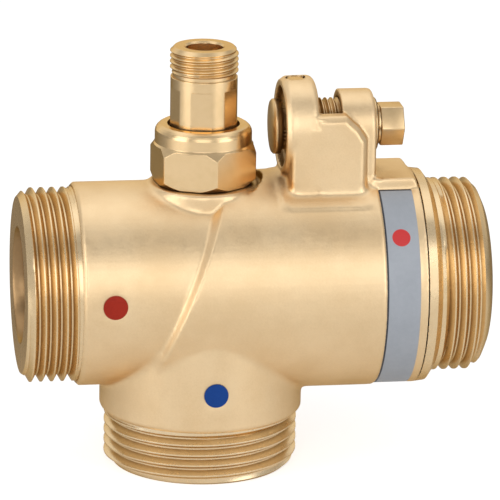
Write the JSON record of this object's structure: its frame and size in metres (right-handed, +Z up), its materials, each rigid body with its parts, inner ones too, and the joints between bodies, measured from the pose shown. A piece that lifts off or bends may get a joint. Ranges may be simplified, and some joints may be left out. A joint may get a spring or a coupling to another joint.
{
  "type": "mixing valve",
  "caption": "Brass three-way tempering valve with male pipe threads: hot inlet, cold inlet below, mixed outlet, adjusting neck and clevis screw on top.",
  "frame": {"origin": "centre of the cold port's mouth, at the foot of the valve", "axes": "+X along the run towards the mixed outlet, +Z up the branch towards the spindle neck, -Y the side with the colour markers"},
  "size_m": [0.1005, 0.0474, 0.0923],
  "materials": {
    "cast_brass": "sand-blasted satin",
    "turned_brass": "fine turned",
    "rubber": "matte",
    "fibre": "matte",
    "inner_plastic": "moulded",
    "copper": "drawn",
    "spring_steel": "drawn",
    "red_enamel": "gloss enamel",
    "blue_enamel": "gloss enamel",
    "label_film": "satin film"
  },
  "bodies": {
    "valve": {"valve_body": "cast_brass", "outlet_tailpiece": "turned_brass", "outlet_o_ring": "rubber", "gland_nut": "turned_brass", "spindle_housing": "turned_brass", "housing_gasket": "fibre", "hot_seat_disc": "turned_brass", "hot_seat_washer": "rubber", "cold_seat_ring": "turned_brass", "shuttle_o_ring": "rubber", "return_spring": "spring_steel", "retaining_pin": "turned_brass", "hot_marker": "red_enamel", "cold_marker": "blue_enamel", "outlet_label": "label_film"},
    "spindle": {"adjusting_spindle": "turned_brass", "spindle_o_rings": "rubber"},
    "carrier": {"setting_carrier": "inner_plastic", "wax_element": "copper", "overload_spring": "spring_steel", "overload_clip": "spring_steel"},
    "shuttle_group": {"shuttle": "inner_plastic", "push_rod": "spring_steel"},
    "screw": {"clevis_screw": "turned_brass"}
  },
  "joints": [
    {"name": "adjusting_turn", "type": "hinge", "parent": "valve", "child": "spindle", "pos_m": [0, 0, 0.0802], "axis": [0, 0, 1], "range_deg": [-40, 40]},
    {"name": "carrier_slide", "type": "slide", "parent": "valve", "child": "carrier", "axis": [1, 0, 0], "range_m": [-0.0016, 0.0016]},
    {"name": "shuttle_slide", "type": "slide", "parent": "valve", "child": "shuttle_group", "axis": [1, 0, 0], "range_m": [-0.00145, 0.00145], "stiffness_N_per_m": 2000, "deforming": ["return_spring"]},
    {"name": "screw_turn", "type": "hinge", "parent": "valve", "child": "screw", "pos_m": [0.0265, 0, 0.0742], "axis": [1, 0, 0], "continuous": true}
  ],
  "couplings": [
    {"joint": "adjusting_turn", "follows": "carrier_slide", "rad_per_m": -434.4}
  ]
}
